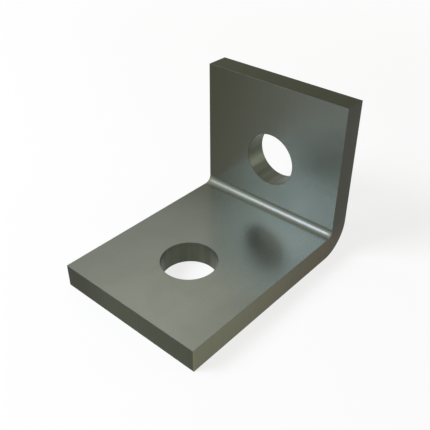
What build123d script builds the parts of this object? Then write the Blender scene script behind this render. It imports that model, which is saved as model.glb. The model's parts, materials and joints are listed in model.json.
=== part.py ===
from build123d import *
import os

# Right-angled strut fitting: one flat steel plate with a round bolt hole in each leg, folded once
# across its width. The long leg lies on a length of strut channel and the short leg stands up from it.
#
# The origin is on the axis of the base leg's bolt hole, in the underside of that leg.
# +X runs across the plate, +Y from the free end of the base leg towards the fold, and +Z up.
# All sizes are in millimetres.

# Plate, and the radius inside its fold
plate_width = 41.0
plate_thickness = 6.0
inside_bend_radius = 2.0

# Each leg is measured over the outside of the fold, from the back of the other leg to its own free end
base_leg_length = 57.0
upright_leg_length = 41.0

# Both holes take the same bolt. Each is centred on the width and set in from the free end of its leg
bolt_hole_diameter = 14.0
base_hole_end_distance = 20.5
upright_hole_end_distance = 20.5

# The middle of the plate's thickness in each leg, and the radius of the fold along it
middle = plate_thickness / 2
heel_y = base_leg_length - base_hole_end_distance
upright_middle_y = heel_y - middle
middle_bend_radius = inside_bend_radius + middle


def folded_middle_line():
    """The middle line of the plate, seen from the side: along the base, round the fold and up."""
    free_end = (-base_hole_end_distance, middle)
    corner = (upright_middle_y, middle)
    upper_end = (upright_middle_y, upright_leg_length)
    return FilletPolyline(free_end, corner, upper_end, radius=middle_bend_radius)


def folded_plate():
    """The middle line given the plate's thickness, evenly on both sides, and drawn out to its width."""
    side_plane = Plane.YZ.offset(-plate_width / 2)
    section = trace(folded_middle_line(), line_width=plate_thickness)
    return extrude(side_plane * section, plate_width)


def bolt_holes():
    """A round cutter through the middle of each leg, long enough to pass right through its faces."""
    upright_hole_z = upright_leg_length - upright_hole_end_distance
    base_place = Plane(origin=(0, 0, middle), z_dir=(0, 0, 1))
    upright_place = Plane(origin=(0, upright_middle_y, upright_hole_z), z_dir=(0, 1, 0))
    cutter = Cylinder(bolt_hole_diameter / 2, 2 * plate_thickness)
    return [base_place * cutter, upright_place * cutter]


angle_fitting = folded_plate() - bolt_holes()

os.makedirs("parts", exist_ok=True)
export_step(angle_fitting, "parts/angle_fitting.step")
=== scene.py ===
import json
import math

import bmesh
import bpy
from bpy.props import FloatProperty, FloatVectorProperty, IntProperty, PointerProperty
from mathutils import Euler, Matrix, Vector


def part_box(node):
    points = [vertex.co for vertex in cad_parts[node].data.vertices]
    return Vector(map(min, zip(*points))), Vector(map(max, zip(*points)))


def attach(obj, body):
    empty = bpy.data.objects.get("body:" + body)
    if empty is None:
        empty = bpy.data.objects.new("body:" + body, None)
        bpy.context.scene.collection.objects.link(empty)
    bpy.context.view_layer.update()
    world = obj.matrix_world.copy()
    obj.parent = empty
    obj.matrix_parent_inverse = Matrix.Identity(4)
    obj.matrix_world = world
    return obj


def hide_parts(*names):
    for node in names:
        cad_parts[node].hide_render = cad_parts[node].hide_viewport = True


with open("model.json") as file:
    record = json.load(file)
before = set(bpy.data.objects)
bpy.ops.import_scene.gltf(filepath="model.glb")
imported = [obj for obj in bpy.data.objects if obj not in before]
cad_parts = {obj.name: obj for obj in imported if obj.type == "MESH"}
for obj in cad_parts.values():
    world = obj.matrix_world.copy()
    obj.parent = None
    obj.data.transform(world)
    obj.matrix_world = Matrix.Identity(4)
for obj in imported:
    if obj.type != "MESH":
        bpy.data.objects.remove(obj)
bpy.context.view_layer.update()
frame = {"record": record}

# A strut angle fitting: one flat steel plate, punched with two bolt holes and folded through a right angle.
# It stands on a plain pale floor under soft lamps. Lengths are in metres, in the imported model's own frame:
# +X across the plate, +Y from the free end of the base leg towards the fold, +Z up.

bl_info = {
    "name": "Strut angle fitting",
    "version": (1, 0, 0),
    "blender": (4, 5, 0),
    "location": "3D View > Sidebar > Strut fitting",
    "description": "A punched and folded steel plate for strut channel, and the studio that it stands in",
    "category": "Object",
}

LOW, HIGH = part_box("angle_fitting")
MOUNTS = {mount["name"]: mount for mount in frame["record"]["mounts"]}
BORE = MOUNTS["base_hole"]["dims"]

# The plate's own attribute: each point's place in the flat blank, before the fold.
# X runs across the plate, Y along it through the fold, and Z down from its inner face.
BLANK = "blank"

# The blank for one leg starts as a square round its hole
CORNERS = 4
# Points nearer to each other than this share of the arris are one point
SAME_POINT = 0.01
# Edges that turn by more than this are cut edges, and each is rounded in so many steps
SHARP_TURN = math.radians(60)
ARRIS_STEPS = 3

# Each noise on the steel: how it is stretched across, along and through the blank, its scale, detail and
# roughness. The clouds are broad, the roll lines run along the plate and the grain is close.
CLOUDS = ((1, 1, 1), 75, 3, 0.55)
ROLL_LINES = ((1, 0.02, 1), 2600, 2, 0.6)
GRAIN = ((1, 1, 1), 5200, 2, 0.6)
# On faces through the thickness, fine marks from the shear and the punch run straight from face to face,
# with broader bands in the holes, where the punch dragged
CUT_MARKS = ((1, 1, 0.06), 1500, 3, 0.6)
PUNCH_BANDS = ((1, 1, 0.04), 700, 2, 0.5)
# Where the edges have been rubbed by handling, and where less
HANDLING = ((1, 1, 1), 420, 3, 0.6)
# A noise varies to both sides of this
NOISE_MIDDLE = 0.5

# Between which values of its noise each of these comes in, and how much darker it makes the steel. The
# bands make it lighter as well, by half of theirs to each side.
CLOUD_RANGE = (0.35, 0.75)
LINE_RANGE = (0.45, 0.8)
LINE_SHADE = 0.04
MARK_RANGE = (0.3, 0.8)
MARK_SHADE = 0.07
BAND_RANGE = (0.3, 0.7)
BAND_SHADE = 0.3
# How bright a cut face is before its marks darken it
CUT_BRIGHTNESS = 1.02

# How much the clouds, the grain and the cut marks vary the roughness
CLOUD_DULLNESS = 0.05
GRAIN_DULLNESS = 0.25
MARK_DULLNESS = 0.07

# How high the grain, the roll lines and the cut marks stand beside each other, and how strong and how high
# the whole relief is
GRAIN_RELIEF = 0.30
LINE_RELIEF = 0.25
MARK_RELIEF = 0.7
RELIEF_STRENGTH = 0.25
RELIEF_HEIGHT = 0.00002

# A pair of lengths below is where a smooth change begins and where it is complete. These two count in
# arrises: how far under a flat face a cut face begins, and how near a cut edge the arris lies.
CUT_FACE = (0.4, 2)
ARRIS = (3, 1.5)
# How near a point is to a long side, to a hole's wall and to a rubbed edge when it counts as part of it, and
# by how much, at most, the handling noise narrows the rubbed edge
LONG_SIDE = (0.0002, 0.0001)
HOLE_WALL = (0.002, 0.001)
RUBBED_EDGE = (0.00055, 0.0002)
HANDLING_REACH = 0.0006
# Where the plate's inner half ends, in thicknesses below its inner face
INNER_HALF = (0.6, 0.4)
# The fold's worked skin begins so far outside the fold and is complete so far inside it
SKIN_OUTSIDE = 0.0002
SKIN_INSIDE = 0.0008
# How far up the upright leg's long sides the brown shade painted by the fold fades into the darker shade
# painted on that leg
FOLD_SIDE_SHADE_REACH = 0.003
# How far in from its left side the base leg's end is painted darker, as shade
LEFT_END_SHADE_REACH = 0.018
# How far the painted shade creeps over the inner face from the upright leg's upper left corner, where it
# stands in for a dark reflection, for how much of a step across the face a step down it counts, how ragged
# its edge is, and how far it runs on past the fold
CORNER_SHADE_REACH = 0.042
CORNER_SHADE_FALL = 0.28
CORNER_SHADE_RAGGED = 0.008
CORNER_SHADE_PAST_FOLD = 0.022
# The upright leg is duller this far above the fold and this far to the right of its middle
DULL_ABOVE_FOLD = (0.006, 0.020)
DULL_RIGHT = (0, 0.012)
# The gloss at the fold's left end, where the right end has one
POLISH_AT_LEFT = 0.28

# How many squares the floor has along each side
FLOOR_SQUARES = 8
# The nearest and the farthest that the camera sees
NEAREST_SEEN = 0.001
FARTHEST_SEEN = 100

# The colour sockets of a Mix node, which has a set for each kind of value
MIX_FACTOR, MIX_A, MIX_B, MIX_RESULT = 0, 6, 7, 2


def length(name, description, default, low=0.0):
    """A length in metres that a user may change."""
    return FloatProperty(
        name=name,
        description=description,
        default=default,
        min=low,
        precision=5,
        subtype="DISTANCE",
        unit="LENGTH",
    )


def share(name, description, default, high=1.0):
    """A plain number from nothing up to a limit."""
    return FloatProperty(
        name=name, description=description, default=default, min=0.0, max=high, precision=3
    )


def colour(name, description, default):
    """A linear colour that a user may change."""
    return FloatVectorProperty(
        name=name, description=description, default=default, size=3, min=0.0, max=4.0, subtype="COLOR"
    )


def angle(name, description, degrees):
    """An angle that a user may change."""
    return FloatProperty(name=name, description=description, default=math.radians(degrees), subtype="ANGLE")


def count(name, description, default, low, high):
    """A whole number that a user may change."""
    return IntProperty(name=name, description=description, default=default, min=low, max=high)


class PlateSizes(bpy.types.PropertyGroup):
    """The folded plate's sizes."""

    width: length("Width", "Across the plate, the same as the strut channel", HIGH.x - LOW.x)
    thickness: length("Thickness", "Through the plate", BORE["length_mm"] / 1000)
    base_end: length("Base end", "From the base hole's axis to the free end of the base leg", -LOW.y)
    heel: length("Heel", "From the base hole's axis to the back of the upright leg", HIGH.y)
    height: length("Height", "From the underside to the top of the upright leg", HIGH.z)
    upright_hole_height: length(
        "Upright hole height",
        "From the underside to the upright hole's axis",
        MOUNTS["upright_hole"]["pos_m"][2],
    )
    hole_radius: length("Hole radius", "Both bolt holes", BORE["r_mm"] / 1000)
    inside_radius: length("Inside fold radius", "The radius on the inner side of the fold", 0.002)
    arris: length("Arris", "How far every cut edge is rounded off", 0.00004)
    hole_facets: count("Hole facets", "Flats round each hole, a multiple of four", 96, 16, 256)
    fold_facets: count("Fold facets", "Flats round the fold", 16, 4, 64)


class SteelFinish(bpy.types.PropertyGroup):
    """The colours and textures of the steel."""

    rolled: colour("Rolled face", "The flat faces of the plate", (0.122, 0.132, 0.11))
    # Shade painted on the upright's inner face at its top left, as a dark reflection
    corner_shade_colour: colour("Tarnished face", "The upright's inner face, top left", (0.062, 0.064, 0.044))
    mill_edge: colour("Mill edge", "The base leg's long sides", (0.146, 0.152, 0.094))
    # Painted shade on the long sides: browner towards the fold, and darker up the upright leg
    fold_side_shade: colour("Strained edge", "The long sides beside the fold, browner", (0.064, 0.051, 0.0235))
    upper_edge_shade: colour("Upper edge", "The upright leg's long sides, darker", (0.0275, 0.0275, 0.0155))
    sheared: colour("Sheared end", "The base leg's free end, cut by a shear", (0.057, 0.062, 0.037))
    # Painted shade on the base leg's end, darker towards its left
    left_end_shade: colour("Bitten end", "That end at its left, where the shear first bit", (0.031, 0.033, 0.018))
    # Painted shade on the upright leg's top end, a cut face painted far darker than the base leg's end
    top_end_shade: colour("Cropped end", "The upright leg's top end, cut cleaner", (0.023, 0.025, 0.006))
    punched: colour("Punched wall", "The walls of the holes", (0.085, 0.094, 0.067))
    folded: colour("Folded face", "The skin of the fold, worked by the press", (0.107, 0.114, 0.075))
    worn: colour("Worn arris", "The handled edges, where the steel is rubbed bright", (0.13, 0.13, 0.11))
    cloud_shade: share("Cloud shade", "How much darker the faint clouds on the steel are", 0.07)
    rolled_roughness: share("Rolled roughness", "How dull the base leg's flat faces are", 0.28)
    upright_roughness: share("Upright roughness", "How dull the upright leg's flat faces are", 0.225)
    corner_roughness: share("Corner roughness", "How dull those faces are towards their upper right", 0.36)
    mill_edge_roughness: share("Mill edge roughness", "How dull the long sides are", 0.43)
    sheared_roughness: share("Sheared roughness", "How dull both ends are", 0.52)
    punched_roughness: share("Punched roughness", "How dull the walls of the holes are", 0.42)
    arris_roughness: share("Arris roughness", "How dull every arris is", 0.70)
    folded_roughness: share("Folded roughness", "How dull the skin of the fold is", 0.61)
    rubbed: share("Rubbed", "How far the arrises are rubbed bright", 0.25)
    fold_polish: share("Fold polish", "How much gloss the press left on the fold, most at the right", 0.56)
    polish_roughness: share("Polish roughness", "How dull that gloss is", 0.19)


class Studio(bpy.types.PropertyGroup):
    """The floor, the lamps and the camera."""

    floor_colour: colour("Floor", "The pale floor", (0.865, 0.818, 0.635))
    floor_size: length("Floor size", "Across the square floor", 6.0)
    floor_lift: share("Floor lift", "How far the floor is evened out towards the white backdrop", 0.8)
    near_floor: length("Near floor", "How far out the floor is evened out no more than that", 0.08)
    far_floor: length("Far floor", "How far out the floor has faded into the white backdrop", 0.40)
    fill: colour("Fill", "The even light from the backdrop", (0.17, 0.17, 0.17))
    key_bearing: angle("Key bearing", "Round from the back to the lamp in front on the left", -142.6)
    key_elevation: angle("Key elevation", "Of the lamp in front, above the floor", 39.9)
    key_width: length("Key width", "Across the lamp in front", 0.35)
    key_height: length("Key height", "Up the lamp in front", 0.33)
    key_brightness: share("Key brightness", "Where the white backdrop is one", 18.6, 100.0)
    key_colour: colour("Key colour", "Of the lamp in front", (0.92, 1, 1.37))
    top_bearing: angle("Top bearing", "Round from the back to the lamp high up on the left", -65.2)
    top_elevation: angle("Top elevation", "Of the high lamp, above the floor", 47.6)
    top_width: length("Top width", "Across the high lamp", 0.52)
    top_height: length("Top height", "Up the high lamp", 0.205)
    top_brightness: share("Top brightness", "Where the white backdrop is one", 1.55, 100.0)
    top_colour: colour("Top colour", "Of the high lamp", (1.06, 1, 0.955))
    side_bearing: angle("Side bearing", "Round from the back to the low lamp on the right", 44.3)
    side_elevation: angle("Side elevation", "Of the low lamp, above the floor", 7.8)
    side_width: length("Side width", "Across the low lamp", 0.34)
    side_height: length("Side height", "Up the low lamp", 0.29)
    side_brightness: share("Side brightness", "Where the white backdrop is one", 2.4, 100.0)
    side_colour: colour("Side colour", "Of the low lamp", (1.0, 1.0, 1.0))
    lamp_reach: length("Lamp reach", "From the middle of the fitting to each lamp", 0.70)
    camera_place: FloatVectorProperty(
        name="Camera place",
        description="Where the camera stands",
        default=(0.079705, -0.080774, 0.098341),
        subtype="TRANSLATION",
        unit="LENGTH",
    )
    camera_turn: FloatVectorProperty(
        name="Camera turn",
        description="The camera's tilt, roll and bearing",
        default=tuple(math.radians(degrees) for degrees in (55.079, 0.085, 41.428)),
        subtype="EULER",
        unit="ROTATION",
    )
    focal_length: FloatProperty(
        name="Focal length", description="In millimetres, on a sensor 36 mm wide", default=50.99, min=1.0
    )


class Measure:
    """A shader socket that takes part in plain arithmetic, by adding Math nodes."""

    def __init__(self, recipe, socket):
        self.recipe = recipe
        self.socket = socket

    def worked(self, operation, *values):
        sockets = dict(enumerate(values))
        return self.recipe.node("Math", {"operation": operation}, sockets, 0)

    def __add__(self, other):
        return self.worked("ADD", self, other)

    def __radd__(self, other):
        return self.worked("ADD", other, self)

    def __sub__(self, other):
        return self.worked("SUBTRACT", self, other)

    def __rsub__(self, other):
        return self.worked("SUBTRACT", other, self)

    def __mul__(self, other):
        return self.worked("MULTIPLY", self, other)

    def __rmul__(self, other):
        return self.worked("MULTIPLY", other, self)

    def __abs__(self):
        return self.worked("ABSOLUTE", self)

    def __pow__(self, other):
        return self.worked("POWER", self, other)

    def least(self, other):
        return self.worked("MINIMUM", self, other)

    def most(self, other):
        return self.worked("MAXIMUM", self, other)

    def ramp(self, start, end):
        """0 up to start, 1 from end on and a smooth rise between. It falls if end is under start."""
        settings = {"interpolation_type": "SMOOTHSTEP"}
        sockets = {"Value": self, "From Min": start, "From Max": end}
        return self.recipe.node("MapRange", settings, sockets, "Result")


class Recipe:
    """The nodes of one material or of the world."""

    def __init__(self, owner):
        owner.use_nodes = True
        self.tree = owner.node_tree
        self.tree.nodes.clear()

    def node(self, kind, settings, sockets, output):
        """Adds a node, gives it its settings and then its sockets' values or links. Returns one output."""
        made = self.tree.nodes.new("ShaderNode" + kind)
        for name, value in settings.items():
            setattr(made, name, value)
        for name, value in sockets.items():
            if isinstance(value, Measure):
                self.tree.links.new(value.socket, made.inputs[name])
            else:
                made.inputs[name].default_value = value
        return Measure(self, made.outputs[output])

    def finish(self, kind, surface):
        """Adds the output node and gives it the surface."""
        made = self.tree.nodes.new("ShaderNode" + kind)
        self.tree.links.new(surface.socket, made.inputs["Surface"])

    def mix(self, factor, first, second):
        """A colour from first to second."""
        sockets = {MIX_FACTOR: factor, MIX_A: first, MIX_B: second}
        return self.node("Mix", {"data_type": "RGBA"}, sockets, MIX_RESULT)

    def between(self, factor, first, second):
        """A plain value from first to second."""
        return first + factor * (second - first)

    def shaded(self, tone, shade):
        """A colour made darker or lighter by a plain value."""
        return self.node("VectorMath", {"operation": "SCALE"}, {0: tone, "Scale": shade}, 0)

    def noise(self, place, stretch, scale, detail, roughness):
        """Noise from 0 to 1, with its place stretched along each axis first. A scale of 1 is a metre."""
        stretched = self.node("Mapping", {}, {"Vector": place, "Scale": stretch}, "Vector")
        sockets = {"Vector": stretched, "Scale": scale, "Detail": detail, "Roughness": roughness}
        return self.node("TexNoise", {}, sockets, "Fac")

    def distance(self, first, second):
        """How far from the origin a point is, in two directions."""
        return (first * first + second * second) ** 0.5


def rgba(colour_property):
    """A colour property as the four numbers that a socket takes."""
    return (*colour_property, 1.0)


def flat_leg(sizes, to_end, to_fold, place):
    """One leg with its hole, cut from plate. It is open where the fold begins."""
    leg = bmesh.new()
    half_width = sizes.width / 2
    bmesh.ops.create_circle(leg, segments=sizes.hole_facets, radius=sizes.hole_radius)
    square = Matrix.Rotation(math.pi / CORNERS, 4, "Z")
    corners = bmesh.ops.create_circle(leg, segments=CORNERS, radius=half_width, matrix=square)["verts"]
    for corner in corners:
        corner.co.x = math.copysign(half_width, corner.co.x)
        corner.co.y = to_fold if corner.co.y > 0 else -to_end
    sides = list({edge for corner in corners for edge in corner.link_edges})
    bmesh.ops.subdivide_edges(leg, edges=sides, cuts=sizes.hole_facets // CORNERS - 1)
    face = bmesh.ops.bridge_loops(leg, edges=leg.edges)["faces"]
    under = bmesh.ops.extrude_face_region(leg, geom=face)["geom"]
    under_points = [part for part in under if isinstance(part, bmesh.types.BMVert)]
    bmesh.ops.translate(leg, vec=(0, 0, -sizes.thickness), verts=under_points)
    near = sizes.arris * SAME_POINT
    wall = [part for part in leg.faces if all(abs(point.co.y - to_fold) < near for point in part.verts)]
    bmesh.ops.delete(leg, geom=wall, context="FACES")
    bmesh.ops.transform(leg, matrix=place, verts=leg.verts)
    return leg


def blank_place(point, sizes, fold):
    """Where a point of the folded plate lay in the flat blank."""
    along, up = point.y - fold.y, point.z - fold.z
    middle = sizes.inside_radius + sizes.thickness / 2
    if along <= 0:
        return Vector((point.x, point.y, sizes.thickness - point.z))
    if up >= 0:
        return Vector((point.x, fold.y + middle * math.pi / 2 + up, along - sizes.inside_radius))
    turned = math.atan2(along, -up)
    return Vector((point.x, fold.y + middle * turned, math.hypot(along, up) - sizes.inside_radius))


def folded_plate(sizes):
    """The whole plate: two flat legs, the fold between them, and every cut edge slightly rounded."""
    inner_y = sizes.heel - sizes.thickness
    fold = Vector((0, inner_y - sizes.inside_radius, sizes.thickness + sizes.inside_radius))
    flat = Matrix.Translation((0, 0, sizes.thickness))
    turned_up = Matrix(((-1, 0, 0), (0, 0, -1), (0, -1, 0))).to_4x4()
    stood_up = Matrix.Translation((0, inner_y, sizes.upright_hole_height)) @ turned_up
    plate = flat_leg(sizes, sizes.base_end, fold.y, flat)
    height_above = sizes.height - sizes.upright_hole_height
    upright = flat_leg(sizes, height_above, sizes.upright_hole_height - fold.z, stood_up)

    rim = [edge for edge in plate.edges if edge.is_boundary]
    rim_points = list({point for edge in rim for point in edge.verts})
    bmesh.ops.spin(
        plate, geom=rim + rim_points, cent=fold, axis=(1, 0, 0), angle=math.pi / 2, steps=sizes.fold_facets,
        use_duplicate=False,
    )
    held = bpy.data.meshes.new("upright_leg")
    upright.to_mesh(held)
    upright.free()
    plate.from_mesh(held)
    bpy.data.meshes.remove(held)
    bmesh.ops.remove_doubles(plate, verts=plate.verts, dist=sizes.arris * SAME_POINT)
    bmesh.ops.recalc_face_normals(plate, faces=plate.faces)

    sharp = [edge for edge in plate.edges if edge.calc_face_angle() > SHARP_TURN]
    bmesh.ops.bevel(
        plate, geom=sharp, offset=sizes.arris, offset_type="OFFSET", segments=ARRIS_STEPS, profile=0.5,
        affect="EDGES", material=-1, clamp_overlap=True,
    )
    layer = plate.verts.layers.float_vector.new(BLANK)
    for point in plate.verts:
        point[layer] = blank_place(point.co, sizes, fold)
    for face in plate.faces:
        face.smooth = True
    return plate


class SteelPlaces:
    """Where each kind of face lies on the plate, where shade is painted on it, and the noises that vary it,
    all read from the blank.
    """

    def __init__(self, recipe, sizes):
        attribute = {"attribute_type": "GEOMETRY", "attribute_name": BLANK}
        blank = recipe.node("Attribute", attribute, {}, "Vector")
        across, along, depth = (recipe.node("SeparateXYZ", {}, {"Vector": blank}, axis) for axis in "XYZ")
        self.clouds = recipe.noise(blank, *CLOUDS)
        self.lines = recipe.noise(blank, *ROLL_LINES)
        self.grain = recipe.noise(blank, *GRAIN)
        self.marks = recipe.noise(blank, *CUT_MARKS)
        self.bands = recipe.noise(blank, *PUNCH_BANDS)
        handled = recipe.noise(blank, *HANDLING)

        # Where the fold, the upright leg's end and its hole lie along the blank
        fold_start = sizes.heel - sizes.thickness - sizes.inside_radius
        fold_end = fold_start + (sizes.inside_radius + sizes.thickness / 2) * math.pi / 2
        top_end = fold_end + sizes.height - sizes.thickness - sizes.inside_radius
        upright_hole = top_end - (sizes.height - sizes.upright_hole_height)

        # How far a point of a cut face is from the nearer flat face, and a point of a flat face from the
        # nearer cut
        under_face = depth.least(sizes.thickness - depth)
        from_side = sizes.width / 2 - abs(across)
        from_ends = (along + sizes.base_end).least(top_end - along)
        from_base_hole = recipe.distance(across, along) - sizes.hole_radius
        from_upright_hole = recipe.distance(across, along - upright_hole) - sizes.hole_radius
        from_hole = from_base_hole.least(from_upright_hole)
        from_cut = from_side.least(from_ends).least(from_hole).most(0)
        from_arris = from_cut + under_face

        # Cut faces and their edges
        self.cut = under_face.ramp(*(sizes.arris * arrises for arrises in CUT_FACE))
        self.arris = from_arris.ramp(*(sizes.arris * arrises for arrises in ARRIS))
        self.long_side = from_side.ramp(*LONG_SIDE)
        self.in_hole = from_hole.ramp(*HOLE_WALL)
        self.rubbed = (from_arris + handled * HANDLING_REACH).ramp(*RUBBED_EDGE)

        # The way along the plate, from the base leg's end through the fold and up the upright leg. The first
        # and the third also say where shade is painted on the long sides and the ends.
        self.to_fold = along.ramp(-sizes.base_end, fold_end)
        self.past_fold = along.ramp(fold_start, fold_end)
        self.on_upright = along.ramp(fold_start, fold_end + FOLD_SIDE_SHADE_REACH)
        into_fold = along.ramp(fold_start - SKIN_OUTSIDE, fold_start + SKIN_INSIDE)
        self.fold = into_fold * along.ramp(fold_end + SKIN_OUTSIDE, fold_end - SKIN_INSIDE)

        # The way across it, and the uneven patches, among them shade painted at the base leg's left end and
        # at the upright leg's upper left
        from_left = across + sizes.width / 2
        # Shade painted on the base leg's end towards its left
        self.left_end_shade = from_left.ramp(LEFT_END_SHADE_REACH, 0)
        self.polish = POLISH_AT_LEFT + from_left * ((1 - POLISH_AT_LEFT) / sizes.width)
        # Shade painted over the upright's inner face from its upper left corner, as a dark reflection
        from_corner = from_left + (top_end - along) * CORNER_SHADE_FALL
        ragged = from_corner + (self.clouds - NOISE_MIDDLE) * CORNER_SHADE_RAGGED
        inside = depth.ramp(*(sizes.thickness * share for share in INNER_HALF))
        near_upright = along.ramp(fold_start - CORNER_SHADE_PAST_FOLD, fold_start)
        self.corner_shade = ragged.ramp(CORNER_SHADE_REACH, 0) * near_upright * inside
        above_fold = along.ramp(*(fold_end + height for height in DULL_ABOVE_FOLD))
        self.upper_right = above_fold * across.ramp(*DULL_RIGHT)


def steel_colour(recipe, places, finish):
    """The rolled and folded faces, with shade painted at the upright's upper left, then the cut ones, with
    shade painted on the long sides and the ends, then what handling rubbed bright.
    """
    cloud_shade = places.clouds.ramp(*CLOUD_RANGE) * finish.cloud_shade
    shade = 1 - cloud_shade - places.lines.ramp(*LINE_RANGE) * LINE_SHADE
    # The rolled faces with shade painted at the upright's upper left
    plain = recipe.mix(places.corner_shade, rgba(finish.rolled), rgba(finish.corner_shade_colour))
    face = recipe.shaded(recipe.mix(places.fold, plain, rgba(finish.folded)), shade)

    mark_shade = places.marks.ramp(*MARK_RANGE) * MARK_SHADE
    band_shade = places.in_hole * (NOISE_MIDDLE - places.bands.ramp(*BAND_RANGE)) * BAND_SHADE
    # Painted shade on the long sides: browner towards the fold, and darker up the upright leg
    base_side = recipe.mix(places.to_fold, rgba(finish.mill_edge), rgba(finish.fold_side_shade))
    side = recipe.mix(places.on_upright, base_side, rgba(finish.upper_edge_shade))
    # Painted shade on the ends: the base leg's end darker at its left, the upright's top end far darker
    sheared = recipe.mix(places.left_end_shade, rgba(finish.sheared), rgba(finish.left_end_shade))
    end = recipe.mix(places.on_upright, sheared, rgba(finish.top_end_shade))
    edge = recipe.mix(places.long_side, end, side)
    wall = recipe.mix(places.in_hole, edge, rgba(finish.punched))
    cut = recipe.shaded(wall, CUT_BRIGHTNESS - mark_shade + band_shade)

    whole = recipe.mix(places.cut, face, cut)
    return recipe.mix(places.rubbed * finish.rubbed, whole, rgba(finish.worn))


def steel_roughness(recipe, places, finish):
    """Each leg's flat faces and the fold, then the cut faces, then every arris."""
    upright = recipe.between(places.upper_right, finish.upright_roughness, finish.corner_roughness)
    legs = recipe.between(places.past_fold, finish.rolled_roughness, upright)
    flat = recipe.between(places.fold, legs, finish.folded_roughness)
    cloudy = (places.clouds - NOISE_MIDDLE) * CLOUD_DULLNESS
    face = flat + cloudy + (places.grain - NOISE_MIDDLE) * GRAIN_DULLNESS
    edge = recipe.between(places.long_side, finish.sheared_roughness, finish.mill_edge_roughness)
    wall = recipe.between(places.in_hole, edge, finish.punched_roughness)
    cut = wall + (places.marks - NOISE_MIDDLE) * MARK_DULLNESS
    whole = recipe.between(places.cut, face, cut)
    return recipe.between(places.arris, whole, finish.arris_roughness)


def steel_relief(recipe, places):
    """Grain and roll lines on the flat faces, and marks on the cut ones."""
    face = (places.grain - NOISE_MIDDLE) * GRAIN_RELIEF + (places.lines - NOISE_MIDDLE) * LINE_RELIEF
    cut = (places.marks - NOISE_MIDDLE) * MARK_RELIEF
    relief = recipe.between(places.cut, face, cut)
    sockets = {"Height": relief, "Strength": RELIEF_STRENGTH, "Distance": RELIEF_HEIGHT}
    return recipe.node("Bump", {}, sockets, "Normal")


def plate_steel(sizes, finish):
    """Satin steel: rolled faces and mill edges, sheared ends, punched holes, and lightly rubbed arrises."""
    material = bpy.data.materials.new("plate_steel")
    recipe = Recipe(material)
    places = SteelPlaces(recipe, sizes)
    steel = recipe.node(
        "BsdfPrincipled",
        {},
        {
            "Base Color": steel_colour(recipe, places, finish),
            "Metallic": 1.0,
            "Roughness": steel_roughness(recipe, places, finish),
            "Normal": steel_relief(recipe, places),
            "Coat Weight": places.fold * (1 - places.cut) * places.polish * finish.fold_polish,
            "Coat Roughness": finish.polish_roughness,
        },
        "BSDF",
    )
    recipe.finish("OutputMaterial", steel)
    return material


def seen_directly(recipe):
    """1 for a ray that shows the backdrop itself: from the camera, off metal or through glass."""
    direct, glossy, through = (
        recipe.node("LightPath", {}, {}, f"Is {kind} Ray") for kind in ("Camera", "Glossy", "Transmission")
    )
    return direct.most(glossy).most(through)


def soft_lamp(studio, name, target):
    """A flat soft lamp, turned to the fitting and as bright all over as the studio says."""
    settings = ("bearing", "elevation", "width", "height", "brightness", "colour")
    bearing, elevation, width, height, brightness, tint = (
        getattr(studio, f"{name}_{setting}") for setting in settings
    )
    level = Vector((math.sin(bearing), math.cos(bearing), 0)) * math.cos(elevation)
    direction = level + Vector((0, 0, math.sin(elevation)))
    lamp = bpy.data.lights.new(name + "_lamp", "AREA")
    lamp.shape = "RECTANGLE"
    lamp.size, lamp.size_y = width, height
    lamp.energy = brightness * width * height * math.pi
    lamp.color = tint
    holder = bpy.data.objects.new(name + "_lamp", lamp)
    holder.location = target + direction * studio.lamp_reach
    holder.rotation_euler = direction.to_track_quat("Z", "Y").to_euler()
    holder.visible_camera = False
    bpy.context.scene.collection.objects.link(holder)


class FITTING_OT_fold_plate(bpy.types.Operator):
    """Make the punched and folded steel plate"""

    bl_idname = "fitting.fold_plate"
    bl_label = "Fold the plate"

    def execute(self, context):
        sizes, finish = context.scene.plate_sizes, context.scene.steel_finish
        mesh = bpy.data.meshes.new("folded_plate")
        plate = folded_plate(sizes)
        plate.to_mesh(mesh)
        plate.free()
        piece = bpy.data.objects.new("folded_plate", mesh)
        context.scene.collection.objects.link(piece)
        mesh.materials.append(plate_steel(sizes, finish))
        evened = piece.modifiers.new("flat_faces", "WEIGHTED_NORMAL")
        evened.mode = "FACE_AREA"
        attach(piece, "root")
        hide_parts("angle_fitting")
        return {"FINISHED"}


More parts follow.
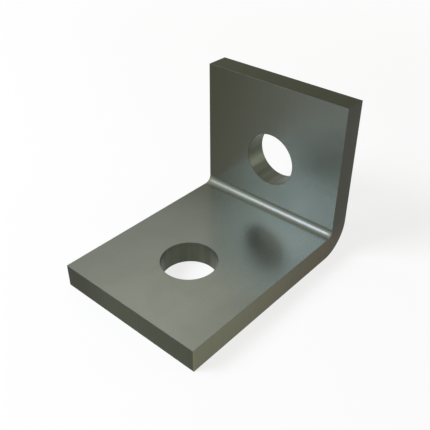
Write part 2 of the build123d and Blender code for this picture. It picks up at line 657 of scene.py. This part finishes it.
class FITTING_OT_set_studio(bpy.types.Operator):
    """Set out the pale floor, the white backdrop, the soft lamps and the camera"""

    bl_idname = "fitting.set_studio"
    bl_label = "Set the studio"

    def execute(self, context):
        scene, studio = context.scene, context.scene.studio
        self.lay_floor(scene, studio)
        self.hang_backdrop(scene, studio)
        self.hang_lamps(studio)
        self.place_camera(scene, studio)
        scene.view_settings.view_transform = "Standard"
        return {"FINISHED"}

    def lay_floor(self, scene, studio):
        """A pale floor that keeps the fitting's shadow."""
        ground = bmesh.new()
        bmesh.ops.create_grid(
            ground, x_segments=FLOOR_SQUARES, y_segments=FLOOR_SQUARES, size=studio.floor_size / 2
        )
        mesh = bpy.data.meshes.new("floor")
        ground.to_mesh(mesh)
        ground.free()
        floor = bpy.data.objects.new("floor", mesh)
        scene.collection.objects.link(floor)
        material = bpy.data.materials.new("pale_floor")
        recipe = Recipe(material)
        painted = recipe.node("BsdfDiffuse", {}, {"Color": rgba(studio.floor_colour)}, "BSDF")
        white = recipe.node("Emission", {}, {"Strength": 1.0}, "Emission")
        place = recipe.node("TexCoord", {}, {}, "Object")
        east, north = (recipe.node("SeparateXYZ", {}, {"Vector": place}, axis) for axis in "XY")
        far_off = recipe.distance(east, north).ramp(studio.near_floor, studio.far_floor)
        lift = studio.floor_lift + far_off * (1 - studio.floor_lift)
        surface = recipe.node("MixShader", {}, {0: seen_directly(recipe) * lift, 1: painted, 2: white}, 0)
        recipe.finish("OutputMaterial", surface)
        mesh.materials.append(material)

    def hang_backdrop(self, scene, studio):
        """A backdrop that looks white, and gives an even fill light."""
        world = bpy.data.worlds.new("backdrop")
        recipe = Recipe(world)
        fill = recipe.node("Background", {}, {"Color": rgba(studio.fill)}, 0)
        white = recipe.node("Background", {}, {"Color": (1, 1, 1, 1)}, 0)
        light = recipe.node("MixShader", {}, {0: seen_directly(recipe), 1: fill, 2: white}, 0)
        recipe.finish("OutputWorld", light)
        scene.world = world

    def hang_lamps(self, studio):
        """A cool lamp in front on the left, one high up on the left and a low one behind on the right."""
        for name in ("key", "top", "side"):
            soft_lamp(studio, name, (LOW + HIGH) / 2)

    def place_camera(self, scene, studio):
        """The camera where the photograph was taken from."""
        lens = bpy.data.cameras.new("camera")
        lens.lens = studio.focal_length
        lens.clip_start = NEAREST_SEEN
        lens.clip_end = FARTHEST_SEEN
        camera = bpy.data.objects.new("camera", lens)
        camera.location = studio.camera_place
        camera.rotation_euler = Euler(studio.camera_turn)
        scene.collection.objects.link(camera)
        scene.camera = camera


class FITTING_PT_panel(bpy.types.Panel):
    """The fitting's sizes, its finish and its studio"""

    bl_idname = "FITTING_PT_panel"
    bl_label = "Strut angle fitting"
    bl_space_type = "VIEW_3D"
    bl_region_type = "UI"
    bl_category = "Strut fitting"

    def draw(self, context):
        for heading, group in (
            ("Plate", context.scene.plate_sizes),
            ("Steel", context.scene.steel_finish),
            ("Studio", context.scene.studio),
        ):
            box = self.layout.box()
            box.label(text=heading)
            for name in group.__annotations__:
                box.prop(group, name)
        for operator in STEPS:
            self.layout.operator(operator.bl_idname)


GROUPS = {"plate_sizes": PlateSizes, "steel_finish": SteelFinish, "studio": Studio}
STEPS = (FITTING_OT_fold_plate, FITTING_OT_set_studio)
CLASSES = (*GROUPS.values(), *STEPS, FITTING_PT_panel)


def register():
    for made in CLASSES:
        bpy.utils.register_class(made)
    for name, group in GROUPS.items():
        setattr(bpy.types.Scene, name, PointerProperty(type=group))


def unregister():
    for name in GROUPS:
        delattr(bpy.types.Scene, name)
    for made in reversed(CLASSES):
        bpy.utils.unregister_class(made)


def main():
    register()
    bpy.ops.fitting.fold_plate()
    bpy.ops.fitting.set_studio()


if __name__ == "__main__":
    main()
